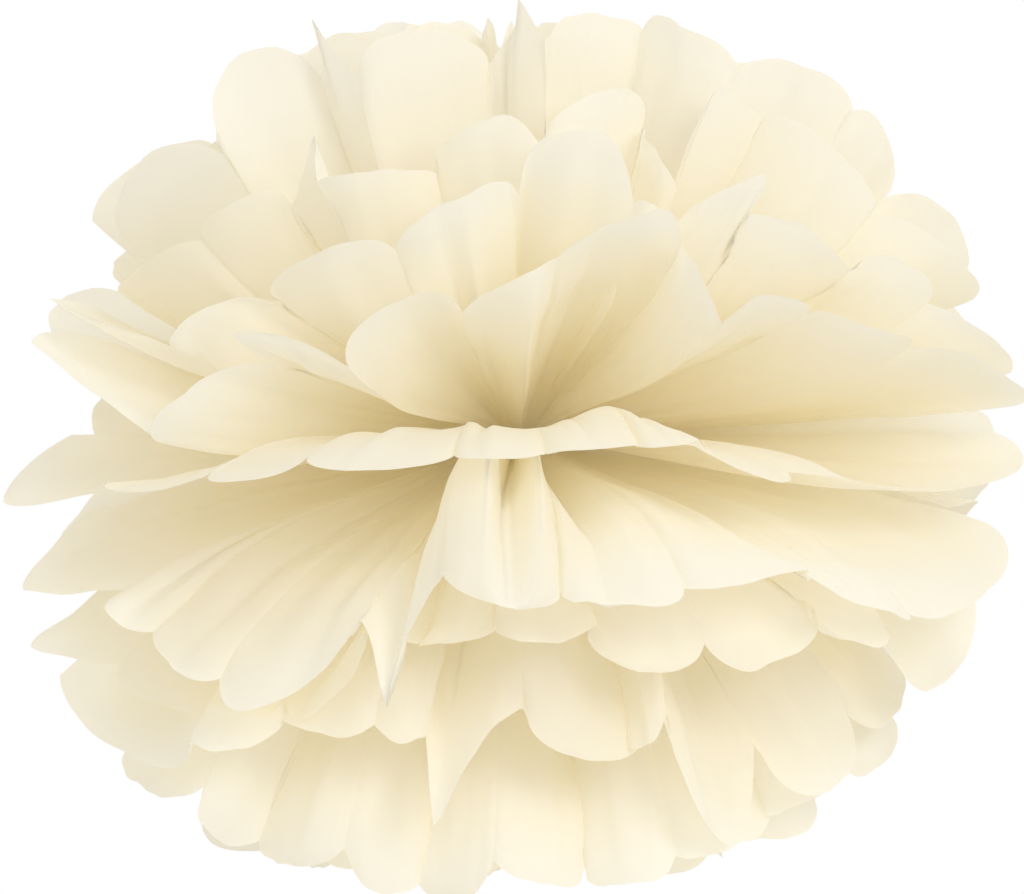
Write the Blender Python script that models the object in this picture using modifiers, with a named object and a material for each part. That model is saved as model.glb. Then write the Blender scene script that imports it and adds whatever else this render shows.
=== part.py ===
"""Tissue paper pom pom: twelve pleated sheets tied across the middle with one wire.

The sheets were stacked, folded like an accordion, cut round at both ends and tied. Each sheet was then
pulled away from the stack, six towards the top and six towards the bottom, so each one is a double fan:
a front half and a back half that meet under the wire. +Z is up, -Y is the front of the photograph, and
the origin is the middle of the tied bundle. Lengths are in metres.
"""

import math
from collections import namedtuple

import bmesh
import bpy
from mathutils import Vector

BALL_WIDTH = 0.250  # across the petal tips, seen from the front
PETAL_ROUND = 0.013  # how far the round end of a petal stands past its two folds
PAPER = 0.0003  # thickness of each solid sheet, which stands for 0.03 mm tissue
SHEET_GAP = 0.00035  # air between two sheets under the wire
BAND_HALF_WIDTH = 0.004  # half the width of the gathered sheets under the wire
PARTING = 0.0015  # from the wire's plane to the first petal of either half
PARTING_SWAY = 0.010  # how far the parting between the halves wanders at the tips, forwards and back
SWAY_WIDTH = 0.360  # how far apart its bends are, sideways
SWAY_HEIGHT = 0.085  # the same, in height
GATHER_SIDE = 0.0003  # how far past the gathered band the folds of the innermost sheet start, sideways
GATHER_FRONT = 0.0030  # the same, towards the front and the back
GATHER_STEP = 0.0007  # how much further out each sheet starts than the one inside it
WIRE = 0.0010  # diameter of the binding wire
WIRE_CLEARANCE = 0.0003  # between the wire and the band, and between its own two ends
SLIT = WIRE / 2 + 0.0007  # from the wire's plane to the first paper on either side of it
TWIST_LENGTH = 0.012  # how far the twisted ends stand up
TWIST_TURNS = 3

SAG = 0.20  # a sheet leaves the tie flatter than its straight line, by this share halfway along
CREST = 0.70  # share of the length after which a hanging petal turns down
BACK_SHARE = 0.93  # the back half is this share of the width and height of the front half that it follows
ROUNDNESS = 2.3  # exponent of a petal's outline: 2 is a half ellipse
SHARPNESS = 1.1  # the same, for the narrowest petals: 1 is a triangle
WIRE_CORNER_STEPS = 4
WIRE_STEPS_PER_TURN = 9

# Rows of points from the tie to the tip: share of the length, and segments across each petal.
ROWS = ((0.38, 1), (0.75, 2), (1.0, 6))

# The photograph, in its own pixels: the middle of the ball, its width, and the real size of a pixel.
PHOTO_MIDDLE = (515, 440)
PHOTO_BALL_WIDTH = 1000
PIXEL = BALL_WIDTH / PHOTO_BALL_WIDTH

# The cut edge of each sheet in the photograph, from left to right: where its folds end, and the tip of
# the petal between each two folds.
UPPER_1 = ((72, 442), (110, 484), (215, 472), (312, 456), (455, 455), (545, 455),
           (635, 447), (695, 441), (785, 472), (900, 490), (990, 440))
UPPER_1_TIPS = ((6, 498), (158, 490), (262, 478), (348, 469), (500, 457),
                (580, 451), (662, 446), (742, 472), (842, 478), (1016, 470))
UPPER_2 = ((75, 329), (164, 446), (267, 363), (350, 367), (465, 314), (560, 263),
           (678, 250), (716, 324), (798, 318), (905, 350), (990, 402))
UPPER_2_TIPS = ((34, 343), (188, 390), (242, 333), (405, 299), (512, 283),
                (652, 203), (702, 268), (776, 299), (862, 320), (1010, 374))
UPPER_3 = ((92, 303), (178, 347), (281, 304), (398, 252), (520, 203), (632, 206),
           (668, 235), (745, 215), (850, 270), (925, 305), (982, 372))
UPPER_3_TIPS = ((52, 297), (205, 312), (325, 248), (478, 191), (590, 130),
                (652, 205), (757, 175), (802, 222), (900, 264), (1004, 352))
UPPER_4 = ((150, 296), (206, 240), (293, 208), (322, 184), (440, 181), (540, 150),
           (640, 140), (672, 190), (762, 120), (868, 215), (948, 300))
UPPER_4_TIPS = ((128, 274), (248, 190), (313, 134), (380, 169), (496, 114),
                (605, 87), (660, 148), (716, 84), (838, 150), (964, 266))
UPPER_5 = ((157, 271), (233, 160), (321, 77), (358, 77), (485, 70), (548, 42),
           (640, 35), (735, 77), (849, 116), (882, 199), (945, 290))
UPPER_5_TIPS = ((136, 164), (238, 68), (309, 19), (405, 31), (513, 4),
                (574, 20), (690, 22), (792, 66), (884, 134), (957, 225))
LOWER_1 = ((95, 510), (100, 592), (165, 652), (222, 678), (362, 620), (448, 572),
           (561, 588), (682, 588), (800, 574), (893, 608), (985, 520))
LOWER_1_TIPS = ((22, 588), (120, 626), (185, 677), (268, 701), (388, 731),
                (508, 607), (640, 608), (740, 581), (896, 616), (985, 588))
LOWER_2 = ((85, 640), (150, 695), (287, 698), (365, 624), (428, 640), (495, 629),
           (593, 618), (702, 643), (808, 606), (888, 626), (970, 580))
LOWER_2_TIPS = ((36, 650), (225, 722), (330, 700), (395, 639), (452, 648),
                (550, 639), (648, 667), (762, 668), (852, 645), (938, 683))
LOWER_3 = ((95, 690), (206, 735), (288, 708), (375, 721), (425, 720), (522, 705),
           (637, 727), (668, 705), (752, 745), (848, 712), (888, 662))
LOWER_3_TIPS = ((132, 768), (245, 748), (333, 736), (400, 742), (438, 833),
                (582, 753), (652, 742), (728, 838), (818, 791), (894, 716))
LOWER_4 = ((130, 745), (205, 785), (266, 826), (345, 845), (420, 850), (495, 856),
           (585, 866), (675, 852), (765, 812), (845, 770), (893, 712))
LOWER_4_TIPS = ((150, 792), (215, 834), (292, 866), (385, 893), (455, 896),
                (545, 884), (640, 884), (728, 850), (812, 798), (882, 760))

# Each traced sheet: its folds and tips, how many pixels it reaches towards the viewer, and how many more
# every other fold does.
TRACED = {
    "upper_1": (UPPER_1, UPPER_1_TIPS, 408, 8),
    "upper_2": (UPPER_2, UPPER_2_TIPS, 368, 24),
    "upper_3": (UPPER_3, UPPER_3_TIPS, 332, 40),
    "upper_4": (UPPER_4, UPPER_4_TIPS, 264, 52),
    "upper_5": (UPPER_5, UPPER_5_TIPS, 176, 60),
    "lower_1": (LOWER_1, LOWER_1_TIPS, 420, 28),
    "lower_2": (LOWER_2, LOWER_2_TIPS, 312, 28),
    "lower_3": (LOWER_3, LOWER_3_TIPS, 268, 52),
    "lower_4": (LOWER_4, LOWER_4_TIPS, 176, 60),
}

# How many pixels the folds of a sheet hang down again at their ends. The other sheets stay stretched.
HANGING = {
    "upper_1": (0, 8, 8, 12, 42, 24, 44, 16, 0, 0, 0),
}

# Each tuft in the middle, which the photograph doesn't show: the sheet around it, the shares of that
# sheet's reach where its folds stand in turn, and how many pixels it stands up.
TUFTS = {
    "upper_6": ("upper_5", (0.60, 0.18), 368),
    "lower_5": ("lower_4", (0.80, 0.50), -388),
    "lower_6": ("lower_4", (0.50, 0.15), -380),
}

Half = namedtuple("Half", "roots ends peaks hangs")

SHEETS_PER_SIDE = 6
PAPER_COLOUR = (0.94, 0.87, 0.70, 1.0)
WIRE_COLOUR = (0.80, 0.78, 0.72, 1.0)


def clear_scene():
    for obj in list(bpy.data.objects):
        bpy.data.objects.remove(obj)


def make_material(name, colour, roughness, metallic):
    material = bpy.data.materials.new(name)
    material.use_nodes = True
    shader = material.node_tree.nodes["Principled BSDF"]
    shader.inputs["Base Color"].default_value = colour
    shader.inputs["Roughness"].default_value = roughness
    shader.inputs["Metallic"].default_value = metallic
    return material


def photo_point(pixel, sheet):
    """A point of the photograph, on the half ellipse in plan that a sheet's edge follows."""
    folds, _, front, _ = TRACED[sheet]
    x = (pixel[0] - PHOTO_MIDDLE[0]) * PIXEL
    z = (PHOTO_MIDDLE[1] - pixel[1]) * PIXEL
    share = (pixel[0] - folds[0][0]) / (folds[-1][0] - folds[0][0])
    depth = PARTING + front * PIXEL * 2 * math.sqrt(max(0.0, share * (1 - share)))
    return Vector((x, -depth, z))


def traced_edge(sheet):
    """The folds' ends and the petals' tips of a sheet that the photograph shows."""
    folds, tips, _, pleat = TRACED[sheet]
    ends = [photo_point(pixel, sheet) for pixel in folds]
    for end in ends[1::2]:
        end.y -= pleat * PIXEL
    peaks = []
    for petal, pixel in enumerate(tips):
        middle = ends[petal].lerp(ends[petal + 1], 0.5)
        peak = photo_point(pixel, sheet)
        peak.y = middle.y + PETAL_ROUND * middle.normalized().y
        peaks.append(peak)
    return ends, peaks


def tuft_edge(sheet):
    """The edge of an inner tuft: its folds on the spokes of the sheet around it, near and far in turn."""
    around, shares, height = TUFTS[sheet]
    ends = []
    for index, outer in enumerate(traced_edge(around)[0]):
        share = shares[index % 2]
        ends.append(Vector((outer.x * share, min(-PARTING, outer.y * share), height * PIXEL)))
    peaks = []
    for petal in range(len(ends) - 1):
        middle = ends[petal].lerp(ends[petal + 1], 0.5)
        peaks.append(middle + middle.normalized() * PETAL_ROUND)
    return ends, peaks


def front_edge(sheet):
    return tuft_edge(sheet) if sheet in TUFTS else traced_edge(sheet)


def back_edge(side, number):
    """The back half follows the front half of the sheet with the same number on the other side."""
    other = "lower" if side == "upper" else "upper"
    edge = []
    for points in front_edge(f"{other}_{number}"):
        edge.append([Vector((p.x * BACK_SHARE, -p.y, -p.z * BACK_SHARE)) for p in points])
    return edge


def make_half(edge, sheet, number, height):
    """One half of a sheet: where its folds leave the tied bundle and end, and its petals' tips."""
    ends, peaks = edge
    further = GATHER_STEP * (SHEETS_PER_SIDE - number)
    roots = []
    for end in ends:
        angle = math.atan2(end.x, abs(end.y))
        x = (BAND_HALF_WIDTH + GATHER_SIDE + further) * math.sin(angle)
        y = SLIT + (GATHER_FRONT + further) * math.cos(angle)
        roots.append(Vector((x, math.copysign(y, end.y), height)))
    hangs = HANGING.get(sheet, (0,) * len(ends))
    return Half(roots, ends, peaks, [hang * PIXEL for hang in hangs])


def sway(point):
    """How far the parting between the two halves has wandered from the wire's plane at a point."""
    outward = math.hypot(point.x, point.z) / (BALL_WIDTH / 2)
    turns = point.x / SWAY_WIDTH + point.z / SWAY_HEIGHT
    return PARTING_SWAY * outward ** 1.5 * math.sin(2 * math.pi * turns)


def edge_point(ends, peaks, petal, across):
    """A point of a petal's cut edge, which rises from one fold to the tip and falls to the next fold."""
    start, stop, peak = ends[petal], ends[petal + 1], peaks[petal]
    chord = stop - start
    lean = min(0.8, max(0.2, (peak - start).dot(chord) / chord.length_squared))
    reach = peak - start.lerp(stop, lean)
    beside = (lean - across) / lean if across < lean else (across - lean) / (1 - lean)
    roundness = min(ROUNDNESS, max(SHARPNESS, ROUNDNESS * chord.length / reach.length))
    hump = (1 - beside ** roundness) ** (1 / roundness)
    return start.lerp(stop, across) + reach * hump


def petal_point(half, petal, across, along):
    """A point of the pleat between two folds: across it from 0 to 1, and along it from the tie to the tip."""
    root = half.roots[petal].lerp(half.roots[petal + 1], across)
    edge = edge_point(half.ends, half.peaks, petal, across)
    hang = half.hangs[petal] * (1 - across) + half.hangs[petal + 1] * across
    point = root.lerp(edge, along)
    rise = (edge.z + hang - root.z) * along
    fall = hang * max(0.0, (along - CREST) / (1 - CREST)) ** 2
    point.z = root.z + rise * (1 - SAG * 4 * along * (1 - along)) - fall
    point.y += sway(point)
    return point


def row_across(segments):
    """Places across a petal, closer together at its sides, where the round end turns."""
    return [(1 - math.cos(math.pi * i / segments)) / 2 for i in range(segments + 1)]


def add_row(bm, half, along, segments):
    """One row of points across all the petals of a half, with its folds shared by neighbours."""
    row = []
    for petal in range(len(half.peaks)):
        places = row_across(segments)
        for across in places if petal == 0 else places[1:]:
            row.append(bm.verts.new(petal_point(half, petal, across, along)))
    return row


def join_rows(bm, inner, outer):
    """Faces between a row and the next one out, which has as many points or a whole multiple."""
    times = (len(outer) - 1) // (len(inner) - 1)
    for i in range(len(inner) - 1):
        first = i * times
        middle = first + (times + 1) // 2
        for k in range(first, middle):
            bm.faces.new((inner[i], outer[k], outer[k + 1]))
        bm.faces.new((inner[i], outer[middle], inner[i + 1]))
        for k in range(middle, first + times):
            bm.faces.new((inner[i + 1], outer[k], outer[k + 1]))


def add_half(bm, half):
    """One half of a sheet. Returns its innermost row, which the gathered band joins."""
    first = [bm.verts.new(root) for root in half.roots]
    inner = first
    for along, segments in ROWS:
        outer = add_row(bm, half, along, segments)
        join_rows(bm, inner, outer)
        inner = outer
    return first


def add_band(bm, front, back, height):
    """The gathered middle of the sheet, which passes under the wire from one half to the other."""
    right = [bm.verts.new((BAND_HALF_WIDTH, y, height)) for y in (-SLIT, SLIT)]
    left = [bm.verts.new((-BAND_HALF_WIDTH, y, height)) for y in (SLIT, -SLIT)]
    bm.faces.new(front + right + back[::-1] + left)


def make_sheet(collection, material, side, number):
    sign = 1 if side == "upper" else -1
    height = sign * (number - 0.5) * (PAPER + SHEET_GAP)
    name = f"{side}_{number}"
    bm = bmesh.new()
    front = add_half(bm, make_half(front_edge(name), name, number, height))
    back = add_half(bm, make_half(back_edge(side, number), "", number, height))
    add_band(bm, front, back, height)
    bmesh.ops.recalc_face_normals(bm, faces=bm.faces)
    mesh = bpy.data.meshes.new(f"{side}_sheet_{number}")
    bm.to_mesh(mesh)
    bm.free()
    mesh.materials.append(material)
    sheet = bpy.data.objects.new(mesh.name, mesh)
    collection.objects.link(sheet)
    thickness = sheet.modifiers.new("paper", "SOLIDIFY")
    thickness.thickness = PAPER
    thickness.offset = 0
    return sheet


def wire_path():
    """The wire's centre line: up one twisted end, round the bundle, and up the other."""
    apart = (WIRE + WIRE_CLEARANCE) / 2
    corner = WIRE_CLEARANCE + WIRE / 2
    half_stack = SHEETS_PER_SIDE * (PAPER + SHEET_GAP) - SHEET_GAP / 2
    top = half_stack + corner
    loop = []
    for quarter, (side, end) in enumerate(((1, 1), (1, -1), (-1, -1), (-1, 1))):
        for step in range(WIRE_CORNER_STEPS + 1):
            angle = math.pi / 2 * (1 - quarter - step / WIRE_CORNER_STEPS)
            x = side * BAND_HALF_WIDTH + corner * math.cos(angle)
            z = end * half_stack + corner * math.sin(angle)
            loop.append(Vector((x, 0, z)))
    steps = TWIST_TURNS * WIRE_STEPS_PER_TURN
    twist = []
    for step in range(steps + 1):
        angle = 2 * math.pi * step / WIRE_STEPS_PER_TURN
        height = top + corner + TWIST_LENGTH * step / steps
        twist.append(Vector((apart * math.cos(angle), apart * math.sin(angle), height)))
    other = [Vector((-point.x, -point.y, point.z)) for point in twist]
    return twist[::-1] + loop + other


def make_tie(collection, material):
    curve = bpy.data.curves.new("tie_wire", "CURVE")
    curve.dimensions = "3D"
    curve.bevel_depth = WIRE / 2
    curve.bevel_resolution = 1
    curve.use_fill_caps = True
    spline = curve.splines.new("POLY")
    path = wire_path()
    spline.points.add(len(path) - 1)
    for point, place in zip(spline.points, path):
        point.co = (*place, 1)
    curve.materials.append(material)
    tie = bpy.data.objects.new("tie_wire", curve)
    collection.objects.link(tie)
    return tie


def main():
    clear_scene()
    collection = bpy.data.collections.new("tissue_paper_pom_pom")
    bpy.context.scene.collection.children.link(collection)
    paper = make_material("tissue_paper", PAPER_COLOUR, 0.85, 0.0)
    wire = make_material("binding_wire", WIRE_COLOUR, 0.35, 1.0)
    for side in ("upper", "lower"):
        for number in range(1, SHEETS_PER_SIDE + 1):
            make_sheet(collection, paper, side, number)
    make_tie(collection, wire)


main()
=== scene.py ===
"""Looks of the tissue paper pom pom: twelve pleated sheets of ivory tissue and the wire that ties them.

Each sheet is one fine grid of points that runs from the front petals' tips, under the wire, to the back
petals' tips. It follows the same folds and tips as its solid, then bends, cups and creases as tissue does.
"""

import math

import bpy
import numpy as np
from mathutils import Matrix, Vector


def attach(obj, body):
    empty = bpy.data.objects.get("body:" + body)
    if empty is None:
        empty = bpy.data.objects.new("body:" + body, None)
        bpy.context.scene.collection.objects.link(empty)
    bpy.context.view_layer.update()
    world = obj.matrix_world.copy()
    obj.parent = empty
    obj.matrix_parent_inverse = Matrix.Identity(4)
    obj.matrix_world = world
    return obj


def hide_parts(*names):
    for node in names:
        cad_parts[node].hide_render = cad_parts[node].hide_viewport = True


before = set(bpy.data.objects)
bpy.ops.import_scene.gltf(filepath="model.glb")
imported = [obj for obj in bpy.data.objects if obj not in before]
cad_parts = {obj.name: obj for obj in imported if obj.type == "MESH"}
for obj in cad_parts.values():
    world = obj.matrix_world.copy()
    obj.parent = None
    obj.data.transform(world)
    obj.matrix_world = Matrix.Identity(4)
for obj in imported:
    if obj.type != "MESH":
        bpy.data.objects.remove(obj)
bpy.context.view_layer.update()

# The sheets, in metres.
BALL_WIDTH = 0.250  # across the petal tips, seen from the front
PETAL_ROUND = 0.013  # how far the round end of a petal stands past its two folds
PAPER_PITCH = 0.00065  # from one sheet to the next under the wire
BAND_HALF_WIDTH = 0.004  # half the width of the gathered sheets under the wire
PARTING = 0.0015  # from the wire's plane to the first petal of either half
PARTING_SWAY = 0.010  # how far the parting between the halves wanders at the tips, forwards and back
SWAY_WIDTH = 0.360  # how far apart its bends are, sideways
SWAY_HEIGHT = 0.085  # the same, in height
GATHER_SIDE = 0.0003  # how far past the gathered band the folds of the innermost sheet start, sideways
GATHER_FRONT = 0.0030  # the same, towards the front and the back
GATHER_STEP = 0.0007  # how much further out each sheet starts than the one inside it
SLIT = 0.0012  # from the wire's plane to the first paper on either side of it
SHEETS_PER_SIDE = 6
FOLDS = 11  # in either half of a sheet

# The petals, as shares of their length and width.
SAG = 0.20  # a sheet leaves the tie flatter than its straight line, by this share halfway along
CREST = 0.70  # share of the length after which a hanging petal turns down
BACK_SHARE = 0.93  # the back half is this share of the width and height of the front half that it follows
ROUNDNESS = 2.3  # exponent of a petal's outline: 2 is a half ellipse
SHARPNESS = 1.1  # the same, for the narrowest petals: 1 is a triangle
TIP_LEAN = (0.2, 0.8)  # between which places across a petal its tip stands
RELIEF = 0.13  # how far a fold stands out on its way, as a share of a petal's width
RELIEF_PEAK = 6.75  # brings the highest place of that relief, at two thirds of the way, to 1
TUFT_FALL_LEFT = 0.05  # how much lower the inner tufts stand at their left end, as a share of their height
TUFT_FALL_RIGHT = 0.10  # the same, at their right end

# How the paper bends within a petal, in metres.
CUP = 0.0030  # how far its middle cups in or out at most
RIM_CURL = (-0.0010, 0.0035)  # between which heights its rim curls in or out
RIM_CURL_START = 0.86  # share of the length after which the rim curls
RAGGED_EDGE = 0.0007  # how far the cut edge wanders in and out
RAGGED_STEPS = 8  # how often it does so within a petal

# The one or two creases in a petal that was handled: the place across it, the height, and the width on
# either side.
HANDLED_PLACE = (0.25, 0.75)
HANDLED_HEIGHT = 0.0022
HANDLED_WIDTH = (0.1, 0.25)

# The creases all over a sheet: how high they are, and how many of them fit across it and along it.
FINE_CREASES = 0.0012
FINE_CELLS = (100, 3)
PATCHES = 0.3  # the fine creases lie in patches, which are larger the higher this is
PATCH_CELLS = (16, 3)
COARSE_CREASES = 0.0007
COARSE_CELLS = (34, 3)
DENTS = 0.0013
DENT_CELLS = (26, 7)
GATHERS = 0.0030
GATHER_CELLS = (70, 4)
FINE_FADE = 1.4  # the fine creases are highest at half of this share of the length
GATHERS_FADE = 1.6  # the gathers are highest near the tie, and gone at 1 / 1.6 of the length
BAND_FADE = 12  # the tied band stays plain, and all creases are full at 1 / 12 of the length
SEEDS = {"upper": 200, "lower": 0}  # of the random numbers of each side, to which a sheet adds its own

# The fine points of each sheet.
ACROSS = 22  # steps across a petal
ALONG = 60  # steps from the tie to a petal's tip
RIM_STEPS = 0.5  # how much closer the rows stand towards the tips

# The looks of the paper, the wire and the floor.
TISSUE_SHADES = ((0.3, (0.967, 0.949, 0.890, 1)), (0.7, (0.977, 0.959, 0.912, 1)))
TISSUE_THROUGH = (0.983, 0.943, 0.80, 1)  # the colour of the light that passes through
TISSUE_THIN = 0.52  # the share of the light that passes through
TISSUE_ROUGHNESS = 0.9
TISSUE_CLOUDS = 60.0  # how many soft clouds of tint fit into a metre
TISSUE_FIBRES = 1400.0  # how many fibres do
FIBRE_STRENGTH = 0.12
FIBRE_HEIGHT = 0.0002
STEEL = (0.80, 0.78, 0.73, 1)
STEEL_MARKS = 2500.0  # how many drawing marks fit into a metre
STEEL_ROUGHNESS = (0.25, 0.45)
FLOOR_RADIUS = 0.8
FLOOR_CORNERS = 96
FLOOR_HEIGHT = -0.19
FLOOR_GREY = (0.8, 0.8, 0.8, 1)
FLOOR_LIFT = 0.38  # how much lighter the floor looks than it is lit

# The light and the camera.
KEY_PLACE = (1.1, -2.2, 0.8)
KEY_SIZE = 0.9
KEY_POWER = 20.0
AMBIENT = 0.75
AMBIENT_COLOUR = (1.0, 1.0, 0.99, 1)
WHITE = (1, 1, 1, 1)
TISSUE_BOUNCES = 22  # light passes through and between many thin sheets before it is gone
CAMERA_DISTANCE = 8.0
CAMERA_REACH = 100.0
SENSOR_WIDTH = 36.0

# The photograph, in its own pixels: the middle of the ball, its width, and the real size of a pixel.
PHOTO_SIZE = (1024, 894)
PHOTO_MIDDLE = (515, 440)
PHOTO_BALL_WIDTH = 1000
PIXEL = BALL_WIDTH / PHOTO_BALL_WIDTH

# The cut edge of each sheet in the photograph, from left to right: where its folds end, and the tip of
# the petal between each two folds.
UPPER_1 = ((72, 434), (110, 484), (215, 472), (312, 456), (455, 455), (545, 455),
           (635, 447), (695, 441), (785, 472), (900, 490), (990, 432))
UPPER_1_TIPS = ((6, 498), (158, 490), (262, 478), (348, 469), (500, 457),
                (580, 451), (662, 446), (742, 472), (842, 478), (1016, 470))
UPPER_2 = ((75, 329), (164, 446), (267, 363), (350, 367), (465, 314), (560, 263),
           (678, 250), (716, 324), (798, 318), (905, 350), (990, 412))
UPPER_2_TIPS = ((34, 343), (188, 390), (242, 333), (405, 299), (512, 283),
                (652, 203), (702, 268), (776, 299), (862, 320), (1010, 374))
UPPER_3 = ((92, 303), (178, 347), (281, 304), (398, 252), (520, 203), (632, 206),
           (668, 235), (745, 215), (850, 270), (925, 305), (982, 372))
UPPER_3_TIPS = ((52, 297), (205, 312), (325, 248), (478, 191), (590, 130),
                (652, 205), (757, 175), (802, 222), (900, 264), (1004, 352))
UPPER_4 = ((150, 296), (206, 240), (293, 208), (322, 184), (440, 181), (540, 150),
           (640, 140), (672, 190), (762, 120), (868, 215), (948, 300))
UPPER_4_TIPS = ((128, 274), (248, 190), (313, 134), (380, 169), (496, 114),
                (605, 87), (660, 148), (716, 84), (838, 150), (964, 266))
UPPER_5 = ((157, 271), (233, 160), (321, 77), (358, 77), (485, 70), (548, 42),
           (640, 35), (735, 77), (849, 116), (882, 199), (945, 290))
UPPER_5_TIPS = ((136, 164), (238, 68), (307, 14), (405, 31), (512, -2),
                (574, 20), (690, 22), (792, 66), (884, 134), (957, 225))
LOWER_1 = ((95, 510), (132, 586), (166, 628), (222, 676), (362, 620), (448, 572),
           (561, 588), (682, 588), (800, 574), (893, 608), (985, 520))
LOWER_1_TIPS = ((20, 588), (112, 622), (182, 672), (268, 701), (388, 731),
                (508, 607), (640, 608), (740, 581), (896, 616), (985, 588))
LOWER_2 = ((98, 614), (122, 664), (287, 698), (365, 624), (428, 640), (495, 629),
           (593, 618), (702, 643), (808, 606), (888, 626), (970, 580))
LOWER_2_TIPS = ((32, 648), (205, 722), (330, 700), (395, 639), (452, 648),
                (550, 639), (648, 667), (762, 668), (852, 645), (938, 683))
LOWER_3 = ((60, 676), (196, 738), (288, 708), (375, 721), (425, 720), (522, 705),
           (637, 727), (668, 705), (752, 745), (848, 712), (888, 662))
LOWER_3_TIPS = ((138, 756), (245, 748), (333, 736), (400, 742), (438, 833),
                (582, 753), (652, 742), (728, 838), (818, 791), (894, 716))
LOWER_4 = ((130, 745), (205, 785), (266, 826), (345, 845), (420, 850), (495, 856),
           (585, 866), (675, 852), (765, 812), (845, 770), (893, 712))
LOWER_4_TIPS = ((150, 792), (215, 834), (292, 866), (385, 893), (455, 896),
                (545, 884), (640, 884), (728, 850), (812, 798), (882, 760))

# Each traced sheet: its folds and tips, how many pixels it reaches towards the viewer, and how many more
# every other fold does.
TRACED = {
    "upper_1": (UPPER_1, UPPER_1_TIPS, 408, 8),
    "upper_2": (UPPER_2, UPPER_2_TIPS, 368, 24),
    "upper_3": (UPPER_3, UPPER_3_TIPS, 332, 40),
    "upper_4": (UPPER_4, UPPER_4_TIPS, 264, 52),
    "upper_5": (UPPER_5, UPPER_5_TIPS, 176, 60),
    "lower_1": (LOWER_1, LOWER_1_TIPS, 420, 28),
    "lower_2": (LOWER_2, LOWER_2_TIPS, 312, 28),
    "lower_3": (LOWER_3, LOWER_3_TIPS, 268, 52),
    "lower_4": (LOWER_4, LOWER_4_TIPS, 176, 60),
}

# How many pixels the folds of a sheet hang down again at their ends. The other sheets stay stretched.
HANGING = {
    "upper_1": (0, 8, 12, 28, 44, 34, 56, 26, 8, 0, 0),
    "lower_1": (0, 0, 0, 0, 20, 90, 100, 10, 0, 0, 0),
}

# Petals of the back half that are cut shorter, as shares of their reach.
SHORT_BACK = {
    "upper_2": {0: 0.90},
    "upper_4": {0: 0.90},
    "lower_1": {0: 0.88},
}

# Folds that stand out less, or the other way, than every other fold of their sheet does.
TURNED_FOLDS = {
    "upper_1": {3: 0.0, 4: 0.0, 5: 0.0, 6: 0.3, 7: 0.3},
    "upper_2": {5: -1.0},
    "lower_1": {1: -1.0, 2: -1.3, 3: 0.1},
}

# Petals with a pointed tip instead of a round one: the lower the number, the narrower the point.
POINTED = {
    "upper_1": {0: 1.7, 9: 1.6},
    "upper_2": {0: 1.2, 5: 1.6},
    "upper_3": {0: 1.2, 7: 1.1},
    "upper_4": {2: 0.75, 7: 1.0},
    "upper_5": {2: 0.75, 4: 0.75},
    "lower_1": {0: 1.2, 4: 0.62},
    "lower_2": {0: 1.5},
    "lower_3": {4: 0.9},
}

# Front halves that lie calmer than the others, as shares of their fine creases.
CALM = {"upper_1": 0.35}

# Creases within a petal: the place across it, how far it stands out, and how wide it is on either side.
CREASES = {
    ("upper_2", 4): ((0.80, 0.0065, 0.50, 0.20),),
    ("upper_2", 3): ((0.62, -0.0020, 0.40, 0.38),),
    ("upper_2", 5): ((0.30, -0.0030, 0.25, 0.40),),
    ("lower_1", 5): ((0.24, 0.0090, 0.24, 0.22), (0.52, -0.0090, 0.20, 0.20),
                     (0.80, 0.0090, 0.22, 0.20)),
    ("lower_1", 3): ((0.35, 0.0025, 0.30, 0.20), (0.70, 0.0025, 0.18, 0.30)),
    ("lower_1", 6): ((0.40, -0.0090, 0.32, 0.40),),
    ("upper_3", 4): ((0.55, 0.0020, 0.40, 0.30),),
    ("lower_3", 5): ((0.30, 0.0025, 0.25, 0.30),),
    ("lower_3", 7): ((0.40, 0.0030, 0.30, 0.20), (0.75, 0.0020, 0.20, 0.20)),
}

# Each tuft in the middle: the sheet around it, the shares of that sheet's reach where its folds stand in
# turn, and how many pixels it stands up.
TUFTS = {
    "upper_6": ("upper_5", (0.60, 0.18), 368),
    "lower_5": ("lower_4", (0.80, 0.50), -388),
    "lower_6": ("lower_4", (0.50, 0.15), -380),
}


def photo_point(pixel, sheet):
    """A point of the photograph, on the half ellipse in plan that a sheet's edge follows."""
    folds, _, front, _ = TRACED[sheet]
    x = (pixel[0] - PHOTO_MIDDLE[0]) * PIXEL
    z = (PHOTO_MIDDLE[1] - pixel[1]) * PIXEL
    share = (pixel[0] - folds[0][0]) / (folds[-1][0] - folds[0][0])
    depth = PARTING + front * PIXEL * 2 * math.sqrt(max(0.0, share * (1 - share)))
    return np.array((x, -depth, z))


def unit(vectors):
    """The same vectors, each of length 1."""
    return vectors / np.maximum(np.linalg.norm(vectors, axis=-1, keepdims=True), 1e-12)


def traced_edge(sheet):
    """The folds' ends and the petals' tips of a sheet that the photograph shows."""
    folds, tips, _, pleat = TRACED[sheet]
    ends = np.array([photo_point(pixel, sheet) for pixel in folds])
    ends[1::2, 1] -= pleat * PIXEL
    peaks = np.array([photo_point(pixel, sheet) for pixel in tips])
    middles = (ends[:-1] + ends[1:]) / 2
    peaks[:, 1] = middles[:, 1] + PETAL_ROUND * unit(middles)[:, 1]
    return ends, peaks


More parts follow.
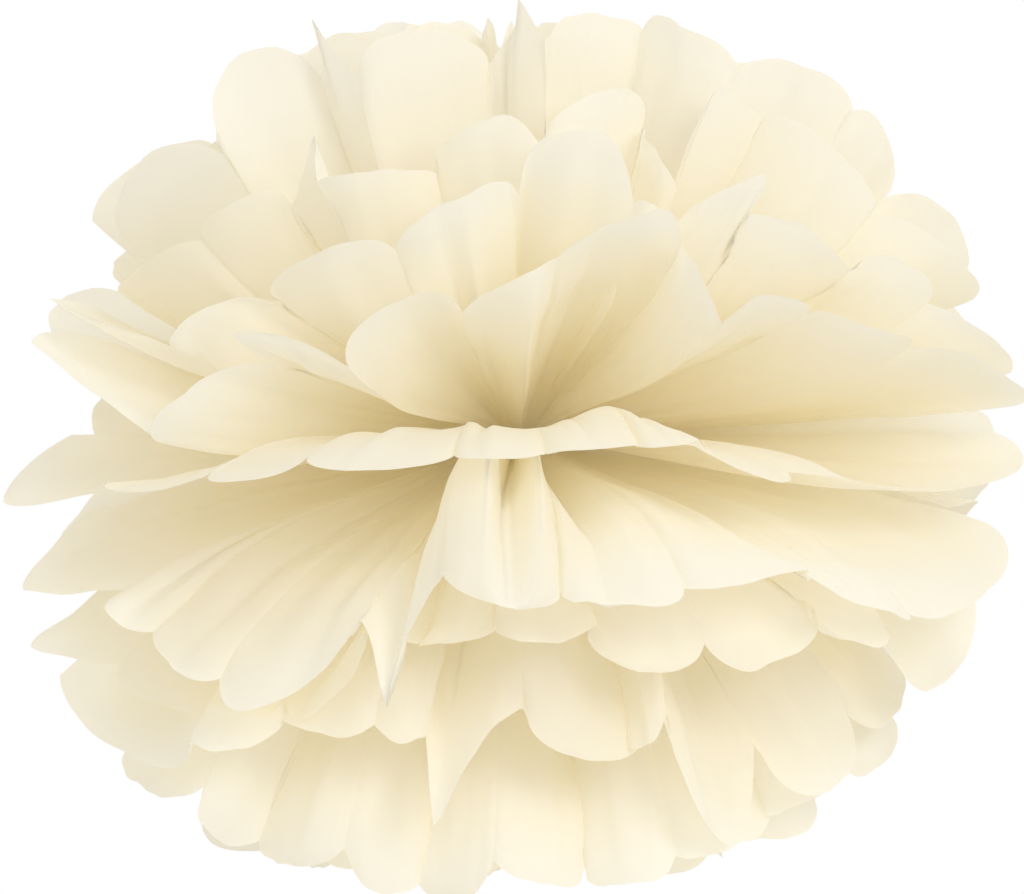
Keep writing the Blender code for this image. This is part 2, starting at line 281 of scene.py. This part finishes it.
def tuft_edge(sheet):
    """The edge of an inner tuft: its folds on the spokes of the sheet around it, near and far in turn."""
    around, shares, height = TUFTS[sheet]
    outer = traced_edge(around)[0]
    share = np.array([shares[index % 2] for index in range(len(outer))])
    depth = np.minimum(-PARTING, outer[:, 1] * share)
    aside = outer[:, 0] / np.abs(outer[:, 0]).max()
    lower = 1 - np.where(aside < 0, TUFT_FALL_LEFT, TUFT_FALL_RIGHT) * np.abs(aside) ** 3
    ends = np.stack((outer[:, 0] * share, depth, height * PIXEL * lower), axis=1)
    middles = (ends[:-1] + ends[1:]) / 2
    return ends, middles + unit(middles) * PETAL_ROUND


def front_edge(sheet):
    """The folds' ends and the petals' tips of a sheet's front half."""
    return tuft_edge(sheet) if sheet in TUFTS else traced_edge(sheet)


def back_edge(side, number):
    """The same of the back half, which follows the sheet with the same number on the other side."""
    other = "lower" if side == "upper" else "upper"
    turned = np.array((BACK_SHARE, -1.0, -BACK_SHARE))
    ends, peaks = (points * turned for points in front_edge(f"{other}_{number}"))
    for petal, share in SHORT_BACK.get(f"{side}_{number}", {}).items():
        peaks[petal] *= share
    return ends, peaks


def roots_of(ends, number, height):
    """Where the folds leave the tied bundle."""
    further = GATHER_STEP * (SHEETS_PER_SIDE - number)
    angle = np.arctan2(ends[:, 0], np.abs(ends[:, 1]))
    x = (BAND_HALF_WIDTH + GATHER_SIDE + further) * np.sin(angle)
    y = SLIT + (GATHER_FRONT + further) * np.cos(angle)
    return np.stack((x, np.copysign(y, ends[:, 1]), np.full(len(ends), height)), axis=1)


def lattice_noise(rng, u, v, cells_u, cells_v):
    """Smooth noise from -1 to 1 over a sheet, with so many cells across it and along it."""
    table = rng.uniform(-1, 1, (cells_u + 2, cells_v + 2))
    a, b = u * cells_u, v * cells_v
    i, j = np.floor(a).astype(int), np.floor(b).astype(int)
    s, t = a - i, b - j
    s, t = s * s * (3 - 2 * s), t * t * (3 - 2 * t)
    low = table[i, j] * (1 - s) + table[i + 1, j] * s
    high = table[i, j + 1] * (1 - s) + table[i + 1, j + 1] * s
    return low * (1 - t) + high * t


def petal_outline(ends, peaks, petal, across, pointed):
    """A petal's cut edge, which rises from one fold to the tip and falls to the next fold."""
    start, stop, peak = ends[petal], ends[petal + 1], peaks[petal]
    chord = stop - start
    lean = np.clip((peak - start) @ chord / (chord @ chord), *TIP_LEAN)
    reach = peak - (start + chord * lean)
    ratio = np.linalg.norm(chord) / np.linalg.norm(reach)
    roundness = pointed.get(petal) or np.clip(ROUNDNESS * ratio, SHARPNESS, ROUNDNESS)
    beside = np.where(across < lean, (lean - across) / lean, (across - lean) / (1 - lean))
    hump = (1 - beside ** roundness) ** (1 / roundness)
    return start + np.outer(across, chord) + np.outer(hump, reach)


def ragged(across, rng):
    """How far a petal's cut edge wanders in and out, as the scissors left it."""
    wander = rng.uniform(-1, 1, RAGGED_STEPS + 1)
    height = RAGGED_EDGE * np.interp(across * RAGGED_STEPS, np.arange(RAGGED_STEPS + 1), wander)
    return height * np.sqrt(np.sin(np.pi * across))


def fold_reliefs(name, ends, facing):
    """How far each fold stands out of its sheet on its way: odd folds outwards, even folds inwards."""
    chords = np.gradient(ends, axis=0)
    normals = unit(np.cross(chords, ends)) * facing
    calm_ends = np.sqrt(np.sin(np.pi * np.arange(FOLDS) / (FOLDS - 1)))
    height = RELIEF * np.linalg.norm(chords, axis=1) * calm_ends
    height[::2] *= -1
    for fold, share in TURNED_FOLDS.get(name, {}).items():
        height[fold] *= share
    return normals * height[:, None]


def crease_height(creases, across):
    """The profile across a petal of the creases in it, each a straight ridge or valley."""
    total = np.zeros_like(across)
    for place, height, left, right in creases:
        beside = np.where(across < place, (place - across) / left, (across - place) / right)
        total += height * np.maximum(0, 1 - beside)
    return total


def chance_creases(rng):
    """One or two weak creases where a petal was handled."""
    creases = []
    for _ in range(rng.integers(1, 3)):
        place = rng.uniform(*HANDLED_PLACE)
        height = rng.uniform(-HANDLED_HEIGHT, HANDLED_HEIGHT)
        left = rng.uniform(*HANDLED_WIDTH)
        right = rng.uniform(*HANDLED_WIDTH)
        creases.append((place, height, left, right))
    return creases


def between_folds(values, petal, across):
    """A smooth curve through the values at all folds, from one fold to the next."""
    last = len(values) - 1
    before, start, stop, after = (values[min(max(k, 0), last)] for k in range(petal - 1, petal + 3))
    slope = (stop - before) / 2
    end_slope = (after - start) / 2
    t, left = across, 1 - across
    return (left ** 2 * (1 + 2 * t) * start + t ** 2 * (1 + 2 * left) * stop
            + t * left ** 2 * slope - t ** 2 * left * end_slope)


def rim_steps():
    """The rows from the tie to the tips, closer together towards the tips."""
    even = np.linspace(0, 1, ALONG + 1)
    return (1 - RIM_STEPS) * even + RIM_STEPS * np.sin(even * np.pi / 2)


def petal_rise(outline, root, hang, height, along):
    """How high a petal's points are: it sags on its way out, and its end may hang down again."""
    rise = (outline[:, 2] + hang - root[:, 2])[None] * along
    fall = hang[None] * np.maximum(0, (along - CREST) / (1 - CREST)) ** 2
    return height + rise * (1 - SAG * 4 * along * (1 - along)) - fall


def petal_swell(petal, across, along, hollow, level, rng):
    """How far a petal's points stand out of its plane: its cup, its curled rim and its creases."""
    bow = np.sin(np.pi * across)
    rim = np.maximum(0, (along - RIM_CURL_START) / (1 - RIM_CURL_START)) ** 2
    cup = rng.uniform(-CUP, CUP)
    curl = rng.uniform(*RIM_CURL)
    swell = ((cup * bow)[None] * along ** 2 + curl * rim * np.sqrt(bow)) * level
    handled = chance_creases(rng)
    creases = CREASES.get(petal, handled)
    return swell + crease_height(creases, across)[None] * np.sqrt(hollow)


def half_grid(name, edge, hangs, number, height, facing, rng):
    """The points of one half of a sheet, as rows from the tie to the tips by columns from left to right."""
    ends, peaks = edge
    roots = roots_of(ends, number, height)
    reliefs = fold_reliefs(name, ends, facing)
    steps = (1 - np.cos(np.pi * np.arange(ACROSS + 1) / ACROSS)) / 2
    along = rim_steps()[:, None]
    hollow = RELIEF_PEAK * along ** 2 * (1 - along)
    columns = []
    for petal in range(len(peaks)):
        across = steps if petal == len(peaks) - 1 else steps[:-1]
        root = roots[petal] + np.outer(across, roots[petal + 1] - roots[petal])
        outline = petal_outline(ends, peaks, petal, across, POINTED.get(name, {}))
        outline = outline + np.outer(ragged(across, rng), unit(peaks[petal]))
        points = root[None] + (outline - root)[None] * along[:, :, None]
        hang = between_folds(hangs, petal, across)
        points[:, :, 2] = petal_rise(outline, root, hang, height, along)
        relief = np.outer(1 - across, reliefs[petal]) + np.outer(across, reliefs[petal + 1])
        points += relief[None] * hollow[:, :, None]
        normal = unit(np.cross(ends[petal + 1] - ends[petal], peaks[petal])) * facing
        swell = petal_swell((name, petal), across, along, hollow, abs(normal[1]), rng)
        points += swell[:, :, None] * normal
        columns.append(points)
    return np.concatenate(columns, axis=1)


def sway(points):
    """How far the parting between the two halves has wandered from the wire's plane."""
    outward = np.hypot(points[..., 0], points[..., 2]) / (BALL_WIDTH / 2)
    turns = points[..., 0] / SWAY_WIDTH + points[..., 2] / SWAY_HEIGHT
    return PARTING_SWAY * outward ** 1.5 * np.sin(2 * np.pi * turns)


def grid_normals(grid):
    """The direction that each point of a sheet faces."""
    return unit(np.cross(np.gradient(grid, axis=0), np.gradient(grid, axis=1)))


def crease(grid, share, rng):
    """Fine radial creases from the folding, and soft dents from the hands that pulled the sheet open."""
    rows, columns = grid.shape[:2]
    u = np.linspace(0, 1, columns)[None, :].repeat(rows, axis=0)
    v = np.linspace(0, 1, rows)[:, None].repeat(columns, axis=1)
    fine = lattice_noise(rng, u, v, *FINE_CELLS)
    patches = np.maximum(0, lattice_noise(rng, u, v, *PATCH_CELLS) + PATCHES)
    coarse = lattice_noise(rng, u, v, *COARSE_CELLS)
    dents = lattice_noise(rng, u, v, *DENT_CELLS)
    gathers = lattice_noise(rng, u, v, *GATHER_CELLS)
    height = FINE_CREASES * fine * patches * v * (FINE_FADE - v)
    height += COARSE_CREASES * coarse * v
    height += DENTS * dents * v
    height += GATHERS * gathers * v * np.maximum(0, 1 - v * GATHERS_FADE)
    inside = np.minimum(1, v * BAND_FADE)
    return grid + (height * inside * share)[:, :, None] * grid_normals(grid)


def sheet_grid(side, number):
    """All the points of a sheet, from the front tips to the back tips."""
    sign = 1 if side == "upper" else -1
    height = sign * (number - 0.5) * PAPER_PITCH
    name = f"{side}_{number}"
    rng = np.random.default_rng(SEEDS[side] + number)
    hangs = np.array(HANGING.get(name, (0,) * FOLDS)) * PIXEL
    front = half_grid(name, front_edge(name), hangs, number, height, sign, rng)
    back = half_grid("", back_edge(side, number), np.zeros(FOLDS), number, height, -sign, rng)
    front = crease(front, CALM.get(name, 1.0), rng)
    back = crease(back, 1.0, rng)
    grid = np.concatenate((front[::-1], back))
    grid[..., 1] += sway(grid)
    return grid


def sharpen_folds(mesh, columns):
    """Keeps the shading of neighbouring petals apart along each fold."""
    ends = np.zeros(len(mesh.edges) * 2, dtype=np.int32)
    mesh.edges.foreach_get("vertices", ends)
    column = ends.reshape(-1, 2) % columns
    folded = (column[:, 0] == column[:, 1]) & (column[:, 0] % ACROSS == 0)
    sharp = mesh.attributes.get("sharp_edge") or mesh.attributes.new("sharp_edge", "BOOLEAN", "EDGE")
    sharp.data.foreach_set("value", folded)


def make_sheet(side, number, material):
    """One sheet of tissue in the place of its solid."""
    grid = sheet_grid(side, number)
    rows, columns = grid.shape[:2]
    index = np.arange(rows * columns).reshape(rows, columns)
    faces = np.stack((index[:-1, :-1], index[:-1, 1:], index[1:, 1:], index[1:, :-1]), axis=-1)
    name = f"{side}_tissue_{number}"
    mesh = bpy.data.meshes.new(name)
    mesh.from_pydata(grid.reshape(-1, 3).tolist(), [], faces.reshape(-1, 4).tolist())
    mesh.shade_smooth()
    sharpen_folds(mesh, columns)
    mesh.materials.append(material)
    sheet = bpy.data.objects.new(name, mesh)
    bpy.context.scene.collection.objects.link(sheet)
    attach(sheet, "root")
    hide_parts(f"{side}_sheet_{number}")


def add_node(tree, kind, **inputs):
    """A shader node with the values of its sockets."""
    node = tree.nodes.new(kind)
    for name, value in inputs.items():
        node.inputs[name.replace("_", " ")].default_value = value
    return node


def tissue_material():
    """Thin ivory tissue: matt, with fine fibres, and light shows through it."""
    material = bpy.data.materials.new("ivory_tissue")
    material.use_nodes = True
    tree = material.node_tree
    link = tree.links.new
    paper = tree.nodes["Principled BSDF"]
    paper.inputs["Roughness"].default_value = TISSUE_ROUGHNESS
    paper.inputs["Specular IOR Level"].default_value = 0.0
    place = add_node(tree, "ShaderNodeTexCoord")
    clouds = add_node(tree, "ShaderNodeTexNoise", Scale=TISSUE_CLOUDS, Detail=2.0)
    tint = add_node(tree, "ShaderNodeValToRGB")
    for stop, (position, shade) in zip(tint.color_ramp.elements, TISSUE_SHADES):
        stop.position = position
        stop.color = shade
    fibres = add_node(tree, "ShaderNodeTexNoise", Scale=TISSUE_FIBRES, Detail=1.0)
    grain = add_node(tree, "ShaderNodeBump", Strength=FIBRE_STRENGTH, Distance=FIBRE_HEIGHT)
    through = add_node(tree, "ShaderNodeBsdfTranslucent", Color=TISSUE_THROUGH)
    mix = add_node(tree, "ShaderNodeMixShader", Fac=TISSUE_THIN)
    link(place.outputs["Object"], clouds.inputs["Vector"])
    link(place.outputs["Object"], fibres.inputs["Vector"])
    link(clouds.outputs["Fac"], tint.inputs["Fac"])
    link(tint.outputs["Color"], paper.inputs["Base Color"])
    link(fibres.outputs["Fac"], grain.inputs["Height"])
    link(grain.outputs["Normal"], paper.inputs["Normal"])
    link(paper.outputs["BSDF"], mix.inputs[1])
    link(through.outputs["BSDF"], mix.inputs[2])
    link(mix.outputs["Shader"], tree.nodes["Material Output"].inputs["Surface"])
    return material


def wire_material():
    """Bright drawn steel with fine marks along it."""
    material = bpy.data.materials.new("drawn_wire")
    material.use_nodes = True
    tree = material.node_tree
    link = tree.links.new
    steel = tree.nodes["Principled BSDF"]
    steel.inputs["Base Color"].default_value = STEEL
    steel.inputs["Metallic"].default_value = 1.0
    place = add_node(tree, "ShaderNodeTexCoord")
    marks = add_node(tree, "ShaderNodeTexNoise", Scale=STEEL_MARKS, Detail=2.0)
    dull = add_node(tree, "ShaderNodeMapRange", To_Min=STEEL_ROUGHNESS[0], To_Max=STEEL_ROUGHNESS[1])
    link(place.outputs["Object"], marks.inputs["Vector"])
    link(marks.outputs["Fac"], dull.inputs["Value"])
    link(dull.outputs["Result"], steel.inputs["Roughness"])
    return material


def dress_wire():
    """Gives the wire's own solid its drawn steel."""
    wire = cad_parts["tie_wire"]
    wire.data.materials.clear()
    wire.data.materials.append(wire_material())


def seen_plainly(tree):
    """1 for the rays that show a background: from the camera, in a reflection or through glass."""
    rays = tree.nodes.new("ShaderNodeLightPath")
    total = rays.outputs["Is Camera Ray"]
    for name in ("Is Glossy Ray", "Is Transmission Ray"):
        either = tree.nodes.new("ShaderNodeMath")
        either.operation = "MAXIMUM"
        tree.links.new(total, either.inputs[0])
        tree.links.new(rays.outputs[name], either.inputs[1])
        total = either.outputs[0]
    return total


def make_world():
    """White to the camera, and an even soft light on the object."""
    world = bpy.data.worlds.new("studio")
    world.use_nodes = True
    tree = world.node_tree
    light = tree.nodes["Background"]
    light.inputs["Color"].default_value = AMBIENT_COLOUR
    light.inputs["Strength"].default_value = AMBIENT
    shown = add_node(tree, "ShaderNodeBackground", Color=WHITE, Strength=1.0)
    mix = tree.nodes.new("ShaderNodeMixShader")
    tree.links.new(seen_plainly(tree), mix.inputs["Fac"])
    tree.links.new(light.outputs[0], mix.inputs[1])
    tree.links.new(shown.outputs[0], mix.inputs[2])
    tree.links.new(mix.outputs[0], tree.nodes["World Output"].inputs["Surface"])
    bpy.context.scene.world = world


def floor_material():
    """A matt pale grey that looks lighter than it is lit, so that it fades into the background."""
    material = bpy.data.materials.new("pale_floor")
    material.use_nodes = True
    tree = material.node_tree
    matt = tree.nodes["Principled BSDF"]
    matt.inputs["Base Color"].default_value = FLOOR_GREY
    matt.inputs["Roughness"].default_value = 1.0
    matt.inputs["Specular IOR Level"].default_value = 0.0
    glow = tree.nodes.new("ShaderNodeEmission")
    strength = tree.nodes.new("ShaderNodeMath")
    strength.operation = "MULTIPLY"
    strength.inputs[1].default_value = FLOOR_LIFT
    both = tree.nodes.new("ShaderNodeAddShader")
    tree.links.new(seen_plainly(tree), strength.inputs[0])
    tree.links.new(strength.outputs[0], glow.inputs["Strength"])
    tree.links.new(matt.outputs["BSDF"], both.inputs[0])
    tree.links.new(glow.outputs[0], both.inputs[1])
    tree.links.new(both.outputs[0], tree.nodes["Material Output"].inputs["Surface"])
    material.cycles.emission_sampling = "NONE"
    return material


def make_floor():
    """A pale round floor under the hanging ball, which keeps its shadow."""
    bpy.ops.mesh.primitive_circle_add(vertices=FLOOR_CORNERS, radius=FLOOR_RADIUS, fill_type="NGON")
    floor = bpy.context.object
    floor.name = "floor"
    floor.location = (0, 0, FLOOR_HEIGHT)
    floor.data.materials.append(floor_material())


def add_area(name, place, size, power):
    """A square soft lamp that points at the ball."""
    lamp = bpy.data.lights.new(name, "AREA")
    lamp.size = size
    lamp.energy = power
    obj = bpy.data.objects.new(name, lamp)
    obj.location = place
    obj.rotation_euler = (-Vector(place)).to_track_quat("-Z", "Y").to_euler()
    bpy.context.scene.collection.objects.link(obj)


def make_camera():
    """Level with the middle of the ball, far enough away for an almost parallel view."""
    camera = bpy.data.cameras.new("camera")
    camera.sensor_width = SENSOR_WIDTH
    camera.lens = SENSOR_WIDTH * CAMERA_DISTANCE / (PHOTO_SIZE[0] * PIXEL)
    camera.clip_end = CAMERA_REACH
    x = (PHOTO_SIZE[0] / 2 - PHOTO_MIDDLE[0]) * PIXEL
    z = (PHOTO_MIDDLE[1] - PHOTO_SIZE[1] / 2) * PIXEL
    obj = bpy.data.objects.new("camera", camera)
    obj.location = (x, -CAMERA_DISTANCE, z)
    obj.rotation_euler = (math.radians(90), 0, 0)
    bpy.context.scene.collection.objects.link(obj)
    bpy.context.scene.camera = obj


def set_light_paths():
    """Lets light pass from sheet to sheet until the depths glow, without caustics from the wire."""
    cycles = bpy.context.scene.cycles
    cycles.max_bounces = TISSUE_BOUNCES
    cycles.diffuse_bounces = TISSUE_BOUNCES
    cycles.transmission_bounces = TISSUE_BOUNCES
    cycles.use_light_tree = False
    cycles.caustics_reflective = False
    cycles.caustics_refractive = False


make_camera()
make_world()
make_floor()
add_area("key", KEY_PLACE, KEY_SIZE, KEY_POWER)

tissue = tissue_material()
for sheet_side in ("upper", "lower"):
    for sheet_number in range(1, SHEETS_PER_SIDE + 1):
        make_sheet(sheet_side, sheet_number, tissue)
dress_wire()

bpy.context.scene.view_settings.view_transform = "Standard"
set_light_paths()
